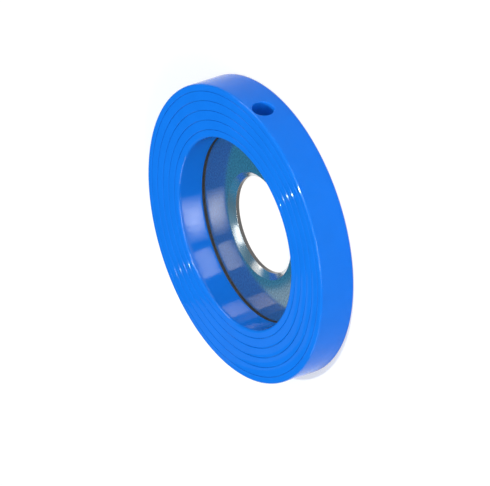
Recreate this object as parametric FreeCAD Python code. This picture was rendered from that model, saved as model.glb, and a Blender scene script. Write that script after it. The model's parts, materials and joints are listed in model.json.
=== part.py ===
import FreeCAD, Part
import math
import os

# Orifice plate in a coated carrier ring, clamped between two pipe flanges of 100 mm nominal bore.
# Millimetres. The ring lies on its back face, the upstream one.
# Origin at the centre of the back face, +Z towards the front face, +X along the pressure tap.

# Carrier ring: its rim passes inside the flange bolts, which centre it
ring_diameter = 162.0
ring_thickness = 20.6
bore_diameter = 104.2
rim_rounding = 1.1
bore_rounding = 1.2

# Gasket grooves, turned into both faces with a pointed tool. The margin runs from the rim to the
# outermost groove, and the land is the least width of face left inside the innermost one.
groove_width = 0.6
groove_depth = 0.6
groove_pitch = 5.22
groove_margin = 3.8
groove_land = 3.5

# Orifice plate: a sharp upstream edge, a short cylindrical land, then the bevel
plate_thickness = 5.0
orifice_diameter = 52.5
land_length = 2.0
bevel_angle = 45.0

# Shoulder round the bore, which the plate is pressed against from behind, through the gasket
shoulder_width = 6.4

# Gasket, as wide as the shoulder, with its inner edge squeezed into the bore
gasket_thickness = 0.8
gasket_lip = 0.2

# Radial clearance of the plate and the gasket in the rebate, and the rebate's lead-in
rebate_clearance = 0.1
rebate_lead_in = 0.6

# Pressure tap, midway between the shoulder and the front face: a socket in the rim, then a
# narrow passage into the bore
tap_diameter = 11.4
tap_depth = 16.0
tap_mouth_rounding = 1.0
tap_drill_angle = 118.0
passage_diameter = 5.0

# A rounding is turned as this many flats
rounding_flats = 2
# How far the tap's cutter reaches past the walls it opens
overrun = 1.0

ring_radius = ring_diameter / 2
bore_radius = bore_diameter / 2
plate_radius = bore_radius + shoulder_width
orifice_radius = orifice_diameter / 2
rebate_radius = plate_radius + rebate_clearance
shoulder_height = plate_thickness + gasket_thickness


def turned(corners):
    """A full turn about Z of a closed outline of (radius, height) corners."""
    points = [FreeCAD.Vector(radius, 0, height) for radius, height in corners]
    outline = Part.makePolygon(points + points[:1])
    return Part.Face(outline).revolve(FreeCAD.Vector(0, 0, 0), FreeCAD.Vector(0, 0, 1), 360)


def rounding(centre_radius, centre_height, size, start_angle):
    """Corners of a quarter round, anticlockwise from the start angle in degrees, 0 being outwards."""
    angles = [math.radians(start_angle + 90 * step / rounding_flats) for step in range(rounding_flats + 1)]
    return [(centre_radius + size * math.cos(a), centre_height + size * math.sin(a)) for a in angles]


def grooves(inner_radius, face_height, bottom_height):
    """Corners of the V grooves in a face that starts at this radius, from the rim inwards."""
    corners = []
    radius = ring_radius - groove_margin
    while radius > inner_radius + groove_land:
        corners.append((radius + groove_width / 2, face_height))
        corners.append((radius, bottom_height))
        corners.append((radius - groove_width / 2, face_height))
        radius -= groove_pitch
    return corners


def carrier_ring():
    """The coated ring: rounded edges, rebate for the plate, gasket grooves and pressure tap."""
    back_grooves = grooves(rebate_radius, 0, groove_depth)
    front_grooves = grooves(bore_radius, ring_thickness, ring_thickness - groove_depth)
    rim_centre = ring_radius - rim_rounding
    bore_centre = bore_radius + bore_rounding
    ring = turned(
        [(rebate_radius, rebate_lead_in), (rebate_radius + rebate_lead_in, 0)]
        + back_grooves[::-1]
        + rounding(rim_centre, rim_rounding, rim_rounding, -90)
        + rounding(rim_centre, ring_thickness - rim_rounding, rim_rounding, 0)
        + front_grooves
        + rounding(bore_centre, ring_thickness - bore_rounding, bore_rounding, 90)
        + [(bore_radius, shoulder_height), (rebate_radius, shoulder_height)]
    )
    return ring.cut(pressure_tap_cutter())


def pressure_tap_cutter():
    """The stepped hole along +X: passage out of the bore, drill point, socket and rounded mouth."""
    tap_height = (shoulder_height + ring_thickness) / 2
    tap_radius = tap_diameter / 2
    passage_radius = passage_diameter / 2
    floor = ring_radius - tap_depth
    point_length = (tap_radius - passage_radius) / math.tan(math.radians(tap_drill_angle / 2))
    mouth_radius = tap_radius + tap_mouth_rounding
    cutter = turned(
        [
            (0, bore_radius - overrun),
            (passage_radius, bore_radius - overrun),
            (passage_radius, floor - point_length),
            (tap_radius, floor),
        ]
        + rounding(mouth_radius, ring_radius - tap_mouth_rounding, tap_mouth_rounding, 90)[::-1]
        + [(mouth_radius, ring_radius + overrun), (0, ring_radius + overrun)]
    )
    cutter.rotate(FreeCAD.Vector(0, 0, 0), FreeCAD.Vector(0, 1, 0), 90)
    cutter.translate(FreeCAD.Vector(0, 0, tap_height))
    return cutter


def orifice_plate():
    """The bare disc: sharp edge and land behind, bevel in front."""
    bevel_width = (plate_thickness - land_length) * math.tan(math.radians(bevel_angle))
    return turned(
        [
            (orifice_radius, 0),
            (plate_radius, 0),
            (plate_radius, plate_thickness),
            (orifice_radius + bevel_width, plate_thickness),
            (orifice_radius, land_length),
        ]
    )


def gasket():
    """The flat black ring on the plate, under the shoulder."""
    lip_radius = bore_radius - gasket_lip
    return turned(
        [
            (lip_radius, plate_thickness),
            (plate_radius, plate_thickness),
            (plate_radius, shoulder_height),
            (lip_radius, shoulder_height),
        ]
    )


os.makedirs("parts", exist_ok=True)
carrier_ring().exportStep("parts/carrier_ring.step")
orifice_plate().exportStep("parts/orifice_plate.step")
gasket().exportStep("parts/gasket.step")
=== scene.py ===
import json
import math

import bmesh
import bpy
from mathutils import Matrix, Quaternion, Vector


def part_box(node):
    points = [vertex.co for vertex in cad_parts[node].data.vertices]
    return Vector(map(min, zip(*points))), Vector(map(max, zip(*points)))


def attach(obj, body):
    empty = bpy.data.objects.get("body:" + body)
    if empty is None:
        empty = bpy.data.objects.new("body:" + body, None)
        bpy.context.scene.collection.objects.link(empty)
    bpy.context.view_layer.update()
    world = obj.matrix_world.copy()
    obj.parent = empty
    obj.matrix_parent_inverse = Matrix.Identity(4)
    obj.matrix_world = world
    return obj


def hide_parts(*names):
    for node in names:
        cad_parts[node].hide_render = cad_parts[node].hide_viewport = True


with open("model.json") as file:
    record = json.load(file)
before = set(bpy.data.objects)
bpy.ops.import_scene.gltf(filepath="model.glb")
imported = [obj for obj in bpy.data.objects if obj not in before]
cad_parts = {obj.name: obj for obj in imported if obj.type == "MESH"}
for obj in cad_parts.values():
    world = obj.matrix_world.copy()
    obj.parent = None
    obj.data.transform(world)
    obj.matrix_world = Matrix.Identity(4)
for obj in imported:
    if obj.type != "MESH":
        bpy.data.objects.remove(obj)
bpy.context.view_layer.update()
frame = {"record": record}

# Orifice plate in a coated carrier ring, lying on its back face. Metres, with +X along the pressure tap.
MM = 0.001

# Sizes that the frame gives
mounts = {mount["name"]: mount for mount in frame["record"]["mounts"]}


def mount_size(name, size):
    """A mount's radius (r_mm) or length (length_mm)."""
    return mounts[name]["dims"][size] * MM


ring_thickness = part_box("carrier_ring")[1].z
ring_radius = mount_size("rim", "r_mm")
rim_rounding = (ring_thickness - mount_size("rim", "length_mm")) / 2
bore_radius = mount_size("ring_bore", "r_mm")
shoulder_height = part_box("gasket")[1].z
bore_rounding = ring_thickness - shoulder_height - mount_size("ring_bore", "length_mm")
plate_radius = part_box("orifice_plate")[1].x
plate_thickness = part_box("orifice_plate")[1].z
orifice_radius = mount_size("orifice", "r_mm")
land_length = mount_size("orifice", "length_mm")
bevel_radius = orifice_radius + plate_thickness - land_length
tap_radius = mount_size("pressure_tap", "r_mm")
tap_height = mounts["pressure_tap"]["pos_m"][2]
tap_floor = mounts["pressure_tap"]["pos_m"][0] - mount_size("pressure_tap", "length_mm") / 2
tap_mouth_rounding = ring_radius - tap_floor - mount_size("pressure_tap", "length_mm")

# Sizes inside those, as in the part
rebate_clearance = 0.1 * MM
rebate_radius = plate_radius + rebate_clearance
rebate_lead_in = 0.6 * MM
groove_width = 0.6 * MM
groove_depth = 0.6 * MM
groove_pitch = 5.22 * MM
groove_margin = 3.8 * MM
groove_land = 3.5 * MM
gasket_lip = 0.2 * MM
passage_radius = 2.5 * MM
tap_drill_angle = 118.0
cutter_overrun = 1.0 * MM

# What only the finish has: the coating narrows the grooves to a slot between two rounded slopes,
# and edges are rounded or broken
groove_slope_depth = 0.17 * MM
groove_edge_rounding = 0.2 * MM
slot_width = 0.2 * MM
slot_root_width = 0.12 * MM
coated_edge_rounding = 0.3 * MM
gasket_lip_rounding = 0.25 * MM
gasket_edge_rounding = 0.15 * MM
plate_rim_break = 0.3 * MM
plate_edge_break = 0.08 * MM

# How finely the pieces are turned
turning_steps = 288
hole_steps = 96
rounding_segments = 6
wall_cuts = 13
# Vertices nearer than this are one vertex
merge_distance = 0.0005 * MM
# A vertex nearer than this to a place is at that place
place_tolerance = 0.001 * MM

# Edges with a turn of more than this, in degrees, are shaded sharp
coating_sharp_angle = 40
steel_sharp_angle = 30
rubber_sharp_angle = 40

# Values that soft noise seldom leaves
noise_low = 0.3
noise_high = 0.7


def new_outline(name, corners):
    """A closed outline in the XZ plane through (across, height, rounding) corners, drawn point by point."""
    bpy.ops.object.select_all(action="DESELECT")
    bpy.ops.mesh.primitive_plane_add(size=MM)
    piece = bpy.context.object
    piece.name = piece.data.name = name
    places = [Vector((across, 0, height)) for across, height, _ in corners]
    bpy.ops.object.mode_set(mode="EDIT")
    bpy.ops.mesh.merge(type="CENTER")
    bpy.ops.transform.translate(value=places[0])
    for here, there in zip(places, places[1:]):
        bpy.ops.mesh.extrude_region_move(TRANSFORM_OT_translate={"value": there - here})
    bpy.ops.mesh.select_all(action="SELECT")
    bpy.ops.mesh.edge_face_add()
    bpy.ops.mesh.delete(type="ONLY_FACE")
    for size in sorted({rounding for _, _, rounding in corners if rounding}):
        rounded = [place for place, corner in zip(places, corners) if corner[2] == size]
        select_vertices(piece, lambda co: any((co - place).length < place_tolerance for place in rounded))
        bpy.ops.mesh.bevel(affect="VERTICES", offset=size, offset_type="OFFSET", segments=rounding_segments)
    return piece


def select_vertices(piece, wanted):
    """Selects only the vertices whose place is wanted, and the edges and faces between them."""
    mesh = bmesh.from_edit_mesh(piece.data)
    for part in (*mesh.faces, *mesh.edges, *mesh.verts):
        part.select_set(False)
    for vertex in mesh.verts:
        vertex.select_set(wanted(vertex.co))
    mesh.select_flush(True)
    bmesh.update_edit_mesh(piece.data)


def cut_wall(piece, radius):
    """Divides the long straight edge that the outline has at this radius, so that its faces stay small."""
    select_vertices(piece, lambda co: abs(co.x - radius) < place_tolerance)
    mesh = bmesh.from_edit_mesh(piece.data)
    longest = max((edge for edge in mesh.edges if edge.select), key=lambda edge: edge.calc_length())
    for edge in mesh.edges:
        edge.select_set(False)
    longest.select_set(True)
    bmesh.update_edit_mesh(piece.data)
    bpy.ops.mesh.subdivide(number_cuts=wall_cuts)


def turn(piece, steps, centre=(0, 0, 0), axis=(0, 0, 1)):
    """Spins the outline into a closed solid and leaves edit mode."""
    bpy.ops.mesh.select_all(action="SELECT")
    bpy.ops.mesh.spin(steps=steps, angle=math.tau, center=centre, axis=axis)
    bpy.ops.mesh.select_all(action="SELECT")
    bpy.ops.mesh.remove_doubles(threshold=merge_distance)
    bpy.ops.mesh.normals_make_consistent(inside=False)
    bpy.ops.object.mode_set(mode="OBJECT")
    return piece


def pick(piece):
    """Makes this the only selected piece, which the next operators act on."""
    bpy.ops.object.select_all(action="DESELECT")
    piece.select_set(True)
    bpy.context.view_layer.objects.active = piece


def drill(piece, cutter):
    """Takes the cutter's shape out of the piece and merges the slivers that this leaves."""
    pick(piece)
    bpy.ops.object.modifier_add(type="BOOLEAN")
    cut = piece.modifiers[0]
    cut.operation = "DIFFERENCE"
    cut.solver = "EXACT"
    cut.object = cutter
    bpy.ops.object.modifier_apply(modifier=cut.name)
    bpy.data.objects.remove(cutter)
    bpy.ops.object.mode_set(mode="EDIT")
    bpy.ops.mesh.select_all(action="SELECT")
    bpy.ops.mesh.remove_doubles(threshold=merge_distance)
    bpy.ops.mesh.dissolve_degenerate(threshold=merge_distance)
    bpy.ops.object.mode_set(mode="OBJECT")


def grooves(inner_radius, height, inwards):
    """Corners of the grooves in a face that starts at this radius, from the rim inwards.
    The grooves go into the face upwards where inwards is 1, and downwards where it is -1."""
    half_groove = (
        (groove_width / 2, 0, groove_edge_rounding),
        (slot_width / 2, groove_slope_depth, 0),
        (slot_root_width / 2, groove_depth, 0),
    )
    corners = []
    radius = ring_radius - groove_margin
    while radius > inner_radius + groove_land:
        for across, depth, rounding in half_groove:
            corners.append((radius + across, height + inwards * depth, rounding))
        for across, depth, rounding in half_groove[::-1]:
            corners.append((radius - across, height + inwards * depth, rounding))
        radius -= groove_pitch
    return corners


def carrier_ring():
    """The turned ring with its rounded edges, rebate, shoulder and grooves, and the tap drilled in."""
    front_grooves = grooves(bore_radius, ring_thickness, -1)
    back_grooves = grooves(rebate_radius, 0, 1)
    ring = new_outline(
        "coated_ring",
        [
            (ring_radius, 0, rim_rounding),
            (ring_radius, ring_thickness, rim_rounding),
            *front_grooves,
            (bore_radius, ring_thickness, bore_rounding),
            (bore_radius, shoulder_height, coated_edge_rounding),
            (rebate_radius, shoulder_height, 0),
            (rebate_radius, rebate_lead_in, 0),
            (rebate_radius + rebate_lead_in, 0, 0),
            *back_grooves[::-1],
        ],
    )
    cut_wall(ring, ring_radius)
    cut_wall(ring, bore_radius)
    turn(ring, turning_steps)
    drill(ring, tap_cutter())
    return ring


def tap_cutter():
    """The stepped cutter of the pressure tap: passage, drill point, socket and rounded mouth."""
    point_length = (tap_radius - passage_radius) / math.tan(math.radians(tap_drill_angle / 2))
    inner_end = bore_radius - cutter_overrun
    outer_end = ring_radius + cutter_overrun
    passage_top = tap_height + passage_radius
    socket_top = tap_height + tap_radius
    mouth_top = socket_top + 2 * tap_mouth_rounding
    cutter = new_outline(
        "tap_cutter",
        [
            (inner_end, tap_height, 0),
            (inner_end, passage_top, 0),
            (tap_floor - point_length, passage_top, 0),
            (tap_floor, socket_top, 0),
            (ring_radius, socket_top, tap_mouth_rounding),
            (ring_radius, mouth_top, 0),
            (outer_end, mouth_top, 0),
            (outer_end, tap_height, 0),
        ],
    )
    return turn(cutter, hole_steps, centre=(0, 0, tap_height), axis=(1, 0, 0))


def orifice_plate():
    """The turned disc: upstream edge, land, bevel and broken rim edges."""
    plate = new_outline(
        "steel_plate",
        [
            (orifice_radius, 0, 0),
            (plate_radius, 0, plate_rim_break),
            (plate_radius, plate_thickness, plate_rim_break),
            (bevel_radius, plate_thickness, plate_edge_break),
            (orifice_radius, land_length, plate_edge_break),
        ],
    )
    return turn(plate, turning_steps)


def gasket():
    """The flat ring with its inner edge pressed out into a rounded lip."""
    lip_radius = bore_radius - gasket_lip
    seal = new_outline(
        "rubber_gasket",
        [
            (lip_radius, plate_thickness, gasket_lip_rounding),
            (plate_radius, plate_thickness, gasket_edge_rounding),
            (plate_radius, shoulder_height, gasket_edge_rounding),
            (lip_radius, shoulder_height, gasket_lip_rounding),
        ],
    )
    return turn(seal, turning_steps)


class Nodes:
    """A material's node tree, with short ways to add and join its nodes."""

    def __init__(self, name):
        self.material = bpy.data.materials.new(name)
        self.material.use_nodes = True
        self.tree = self.material.node_tree
        self.shader = self.tree.nodes["Principled BSDF"]
        self.place = self.add("ShaderNodeTexCoord").outputs["Object"]

    def add(self, kind, inputs=None, **settings):
        """A node with these settings, and with each input a plain value or another node's output."""
        node = self.tree.nodes.new(kind)
        for name, value in settings.items():
            setattr(node, name, value)
        for name, value in (inputs or {}).items():
            self.set(node.inputs[name], value)
        return node

    def set(self, socket, value):
        """Gives the socket a plain value or another node's output."""
        if isinstance(value, bpy.types.NodeSocket):
            self.tree.links.new(value, socket)
        else:
            socket.default_value = value

    def noise(self, grain, detail=2.0):
        """Noise with grains of this size, in metres."""
        inputs = {"Vector": self.place, "Scale": 1 / grain, "Detail": detail}
        return self.add("ShaderNodeTexNoise", inputs).outputs["Fac"]

    def spread(self, value, low, high, from_low=0.0, from_high=1.0):
        """The value mapped from its own range to the range from low to high."""
        inputs = {"Value": value, "From Min": from_low, "From Max": from_high, "To Min": low, "To Max": high}
        return self.add("ShaderNodeMapRange", inputs).outputs["Result"]

    def rise(self, value, start, end):
        """0 where the value is below the start and 1 where it is above the end."""
        return self.spread(value, 0.0, 1.0, start, end)

    def fall(self, value, start, end):
        """1 where the value is below the start and 0 where it is above the end."""
        return self.spread(value, 1.0, 0.0, start, end)

    def mix(self, factor, first, second):
        """A colour between two colours."""
        node = self.add("ShaderNodeMix", data_type="RGBA")
        self.set(node.inputs["Factor"], factor)
        self.set(node.inputs["A"], first)
        self.set(node.inputs["B"], second)
        return node.outputs["Result"]

    def maths(self, operation, first, second):
        """The two values added, multiplied or compared."""
        node = self.add("ShaderNodeMath", operation=operation)
        self.set(node.inputs[0], first)
        self.set(node.inputs[1], second)
        return node.outputs[0]

    def bump(self, height, depth, normal=None):
        """A surface whose height runs over this depth, in metres."""
        inputs = {"Height": height, "Distance": depth, "Strength": 1.0}
        if normal:
            inputs["Normal"] = normal
        return self.add("ShaderNodeBump", inputs).outputs["Normal"]

    def height(self):
        """Height above the part's back face."""
        return self.add("ShaderNodeSeparateXYZ", {"Vector": self.place}).outputs["Z"]

    def radius(self):
        """Distance from the part's axis."""
        in_plane = (1, 1, 0)
        flat = self.add("ShaderNodeVectorMath", {0: self.place, 1: in_plane}, operation="MULTIPLY").outputs[0]
        return self.add("ShaderNodeVectorMath", {0: flat}, operation="LENGTH").outputs["Value"]

    def finish(self, **inputs):
        """Sets the shader's inputs, named with _ for a space, and gives the material."""
        for name, value in inputs.items():
            self.set(self.shader.inputs[name.replace("_", " ")], value)
        return self.material


def blue_coating():
    """Fusion-bonded epoxy: saturated blue, with a fine orange peel and a slightly uneven gloss.
    The edges of the face and its grooves are glossiest, and the flat face and the rim are dullest."""
    nodes = Nodes("blue_epoxy_coating")
    dark_blue = (0.007, 0.165, 0.65, 1)
    light_blue = (0.008, 0.177, 0.69, 1)
    face_shine = 0.15
    rim_shine = 0.1
    wall_shine = 0.5
    edge_shine = 1.0
    glossy_roughness = 0.05
    duller_roughness = 0.08
    edge_roughness = 0.04
    peel_depth = 0.0015 * MM
    pit_depth = 0.0004 * MM

    shade = nodes.rise(nodes.noise(18 * MM, detail=4), noise_low, noise_high)
    peel = nodes.noise(1.3 * MM, detail=3)
    pits = nodes.noise(0.35 * MM)
    patches = nodes.rise(nodes.noise(6 * MM, detail=4), noise_low, noise_high)
    height = nodes.height()
    near_face = nodes.rise(height, ring_thickness - 0.9 * MM, ring_thickness - 0.7 * MM)
    on_face = nodes.rise(height, ring_thickness - 0.05 * MM, ring_thickness - 0.02 * MM)
    on_rim = nodes.rise(nodes.radius(), ring_radius - 0.3 * MM, ring_radius - 0.1 * MM)
    shine = nodes.spread(near_face, wall_shine, edge_shine)
    wall_roughness = nodes.spread(patches, glossy_roughness, duller_roughness)
    return nodes.finish(
        Base_Color=nodes.mix(shade, dark_blue, light_blue),
        Roughness=nodes.spread(near_face, wall_roughness, edge_roughness),
        IOR=1.45,
        Specular_IOR_Level=nodes.maths(
            "MINIMUM", nodes.spread(on_face, shine, face_shine), nodes.spread(on_rim, shine, rim_shine)
        ),
        Normal=nodes.bump(pits, pit_depth, nodes.bump(peel, peel_depth)),
    )


def stainless_steel():
    """Stainless steel: fine blasted grain on the faces, turning marks on the bevel, and the land painted dark
    as shade.
    """
    nodes = Nodes("turned_stainless_steel")
    dark_grain = (0.40, 0.39, 0.36, 1)
    pale_grain = (0.62, 0.61, 0.56, 1)
    turned_grey = (0.60, 0.60, 0.58, 1)
    # The land's grey is painted shade: the steel there is darkened so that it mirrors little of the lit floor
    land_painted_shade_grey = (0.13, 0.125, 0.12, 1)
    blasted_roughness = 0.11
    turned_roughness = 0.16
    cloud_roughness = 0.03
    mark_width = 0.09 * MM
    relief_depth = 0.006 * MM

    radius = nodes.radius()
    height = nodes.height()
    inside_bevel = nodes.fall(radius, bevel_radius - 0.05 * MM, bevel_radius + 0.05 * MM)
    off_back = nodes.rise(height, 0.05 * MM, 0.1 * MM)
    machined = nodes.maths("MULTIPLY", inside_bevel, off_back)
    # Where the land is, which takes the painted dark grey in place of the steel's own colour
    on_land = nodes.fall(radius, orifice_radius + 0.01 * MM, orifice_radius + 0.03 * MM)
    marks = nodes.add(
        "ShaderNodeTexNoise",
        {"W": nodes.maths("ADD", radius, height), "Scale": 1 / mark_width, "Detail": 3.0},
        noise_dimensions="1D",
    ).outputs["Fac"]
    grain = nodes.noise(0.5 * MM, detail=3)
    clouds = nodes.noise(9 * MM, detail=3)
    # Turned faces show mostly their marks, and blasted faces mostly their grain
    share_of_marks = nodes.spread(machined, 0.1, 0.5)
    share_of_grain = nodes.spread(machined, 1.0, 0.12)
    relief = nodes.maths(
        "ADD",
        nodes.maths("MULTIPLY", marks, share_of_marks),
        nodes.maths("MULTIPLY", grain, share_of_grain),
    )
    speckle = nodes.rise(nodes.noise(1.0 * MM, detail=3), 0.36, 0.64)
    blasted_grey = nodes.mix(speckle, dark_grain, pale_grain)
    roughness = nodes.spread(machined, blasted_roughness, turned_roughness)
    return nodes.finish(
        Base_Color=nodes.mix(on_land, nodes.mix(machined, blasted_grey, turned_grey), land_painted_shade_grey),
        Metallic=0.95,
        Roughness=nodes.maths("ADD", nodes.spread(clouds, 0.0, cloud_roughness), roughness),
        Normal=nodes.bump(relief, relief_depth),
    )


def black_rubber():
    """Nitrile rubber: near black, dull, with a fine moulded grain and a few paler scuffs."""
    nodes = Nodes("black_rubber")
    clean_black = (0.030, 0.028, 0.026, 1)
    scuffed_black = (0.065, 0.058, 0.052, 1)
    least_roughness = 0.45
    most_roughness = 0.62
    grain_depth = 0.01 * MM

    scuffs = nodes.rise(nodes.noise(4 * MM, detail=5), 0.45, 0.75)
    return nodes.finish(
        Base_Color=nodes.mix(scuffs, clean_black, scuffed_black),
        Roughness=nodes.spread(nodes.noise(1.5 * MM), least_roughness, most_roughness),
        Specular_IOR_Level=0.35,
        Normal=nodes.bump(nodes.noise(0.3 * MM), grain_depth),
    )


def floor_white():
    """Pale floor, which the camera and the mirrored rays see at full white where no shadow falls on it."""
    nodes = Nodes("floor_white")
    lit_white = (0.75, 0.75, 0.75, 1)
    seen_white = (0.55, 0.55, 0.55, 1)
    glow_colour = (1, 0.9, 0.8, 1)
    seen_glow = 0.52

    paths = nodes.add("ShaderNodeLightPath").outputs
    reflected = nodes.maths("MAXIMUM", paths["Is Glossy Ray"], paths["Is Transmission Ray"])
    seen = nodes.maths("MAXIMUM", paths["Is Camera Ray"], reflected)
    return nodes.finish(
        Base_Color=nodes.mix(seen, lit_white, seen_white),
        Roughness=0.9,
        Emission_Color=glow_colour,
        Emission_Strength=nodes.maths("MULTIPLY", seen, seen_glow),
    )


def dress(piece, node, material, sharp_angle):
    """The piece is shaded smooth between its sharp edges, stands for the CAD node, rides with the part
    and takes its finish."""
    pick(piece)
    bpy.ops.object.shade_smooth_by_angle(angle=math.radians(sharp_angle))
    piece.data.materials.append(material)
    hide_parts(node)
    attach(piece, "root")


# Camera: the view that the photograph has of the ring, looking down on its front face
camera_azimuth = 44.4
camera_elevation = 29.3
camera_roll = -107.8
view_width = 254.7 * MM
aim_right = 5.51 * MM
aim_down = 4.58 * MM
camera_distance = 1.2

# Lamps. Their places and spans are angles seen from the part, in degrees.
lamp_distance = 2.5
white = (1, 1, 1)
# The lamps by the end of the ring are warmer than the others
cream = (1, 0.87, 0.72)
# Elevation at which the camera sees a lamp mirrored on the bore's wall, and the windows' height there
window_elevation = 29.5
window_height = 8
# Name, azimuth, elevation, azimuth span, elevation span, strength and colour of each whole softbox
softboxes = (
    ("right_window", 66.5, window_elevation, 33, window_height, 8.7, white),
    ("high_window", 50, 60, 56, 7, 2.4, white),
    ("left_fill", -50, 12, 40, 14, 2.6, white),
    ("end_fill", 118, 12, 44, 14, 1.5, white),
    ("end_window", 137, window_elevation, 24, 6, 3.9, cream),
    ("end_glow", 148, 37, 36, 14, 0.8, cream),
)
# The left window is brightest in its middle: its left edge, the span of a strip, and each strip's strength
window_left = -15
strip_span = 11 / 3
window_strips = (2.5, 5, 8, 11, 13.5, 16, 17.5, 17.5, 17.5, 16, 13.5, 11, 8, 5, 2.5)
# The side panel stands close behind the part, as the camera sees it, and is shifted sideways to where
# the plate mirrors it towards the camera
panel_distance = 0.25
panel_shift = 48 * MM
panel_azimuth_span = 10.5
panel_elevation_span = 18
panel_strength = 0.3
# The sun stands where the grooves' slopes mirror it as small highlights
sun_azimuth = 93
sun_elevation = 78.8
sun_strength = 0.56
sun_spread = 2.2

# Air light by height, which is 0 at the horizon and 1 overhead
below_horizon = (1, 1, 1, 1)
air_colours = (
    (0.002, (0.03, 0.12, 0.21, 1)),
    (0.5, (0.01, 0.26, 0.54, 1)),
    (0.76, (0.06, 0.17, 0.26, 1)),
    (0.86, (0.08, 0.28, 0.46, 1)),
)
overhead = (0.15, 0.27, 0.40, 1)

floor_size = 6
floor_gap = 0.05 * MM


def direction(azimuth, elevation):
    """Unit vector from the part, where azimuth 0 is towards -Y and 90 towards +X, in degrees."""
    a, e = math.radians(azimuth), math.radians(elevation)
    return Vector((math.sin(a) * math.cos(e), -math.cos(a) * math.cos(e), math.sin(e)))


def softbox(
    name, azimuth, elevation, azimuth_span, elevation_span, strength,
    colour=white, aim=Vector(), distance=lamp_distance,
):
    """A rectangular lamp that faces the place at aim. Its face is this bright, white being 1."""
    back = direction(azimuth, elevation)
    bpy.ops.object.light_add(type="AREA", location=aim + back * distance)
    lamp = bpy.context.object
    lamp.name = name
    lamp.data.shape = "RECTANGLE"
    half_width = math.radians(azimuth_span / 2) * math.cos(math.radians(elevation))
    lamp.data.size = 2 * distance * math.tan(half_width)
    lamp.data.size_y = 2 * distance * math.tan(math.radians(elevation_span / 2))
    lamp.data.energy = strength * lamp.data.size * lamp.data.size_y * math.pi
    lamp.data.color = colour
    lamp.rotation_mode = "QUATERNION"
    lamp.rotation_quaternion = back.to_track_quat("Z", "Y")


def sun(name, azimuth, elevation, strength, spread):
    """A small distant lamp. It lights a surface that faces it to this brightness, white being 1."""
    bpy.ops.object.light_add(type="SUN")
    lamp = bpy.context.object
    lamp.name = name
    lamp.data.energy = strength * math.pi
    lamp.data.angle = math.radians(spread)
    lamp.rotation_mode = "QUATERNION"
    lamp.rotation_quaternion = direction(azimuth, elevation).to_track_quat("Z", "Y")


def lamps():
    """The sun, the left window in its strips, the whole softboxes and the side panel."""
    sun("key", sun_azimuth, sun_elevation, sun_strength, sun_spread)
    for number, strength in enumerate(window_strips):
        azimuth = window_left + (number + 0.5) * strip_span
        softbox("left_window", azimuth, window_elevation, strip_span, window_height, strength)
    for whole_softbox in softboxes:
        softbox(*whole_softbox)
    panel_aim = direction(camera_azimuth - 90, 0) * panel_shift
    softbox(
        "side_panel", camera_azimuth + 180, camera_elevation, panel_azimuth_span, panel_elevation_span,
        panel_strength, cream, panel_aim, panel_distance,
    )


def world_light():
    """Soft blue air light. Below the horizon it is white, as the floor is."""
    world = bpy.data.worlds.new("studio_air")
    bpy.context.scene.world = world
    world.use_nodes = True
    tree = world.node_tree
    place = tree.nodes.new("ShaderNodeTexCoord")
    split = tree.nodes.new("ShaderNodeSeparateXYZ")
    ramp = tree.nodes.new("ShaderNodeValToRGB")
    colours = ramp.color_ramp.elements
    colours[0].color = below_horizon
    colours[1].color = overhead
    for height, colour in air_colours:
        colours.new(height).color = colour
    tree.links.new(place.outputs["Generated"], split.inputs["Vector"])
    tree.links.new(split.outputs["Z"], ramp.inputs["Fac"])
    tree.links.new(ramp.outputs["Color"], tree.nodes["Background"].inputs["Color"])


def floor():
    """Large plain floor just under the part."""
    bpy.ops.object.select_all(action="DESELECT")
    bpy.ops.mesh.primitive_plane_add(size=floor_size, location=(0, 0, -floor_gap))
    ground = bpy.context.object
    ground.name = "floor"
    ground.data.materials.append(floor_white())


def camera():
    """Orthographic camera that shows the part as the photograph does."""
    back = direction(camera_azimuth, camera_elevation)
    turned = back.to_track_quat("Z", "Y") @ Quaternion((0, 0, 1), math.radians(camera_roll))
    bpy.ops.object.camera_add()
    viewer = bpy.context.object
    viewer.data.type = "ORTHO"
    viewer.data.ortho_scale = view_width
    aim = Vector((0, 0, ring_thickness)) + turned @ Vector((aim_right, -aim_down, 0))
    viewer.rotation_mode = "QUATERNION"
    viewer.rotation_quaternion = turned
    viewer.location = aim + back * camera_distance
    bpy.context.scene.camera = viewer


camera()
floor()
world_light()
lamps()

dress(carrier_ring(), "carrier_ring", blue_coating(), coating_sharp_angle)
dress(orifice_plate(), "orifice_plate", stainless_steel(), steel_sharp_angle)
dress(gasket(), "gasket", black_rubber(), rubber_sharp_angle)

bpy.context.scene.view_settings.view_transform = "Standard"
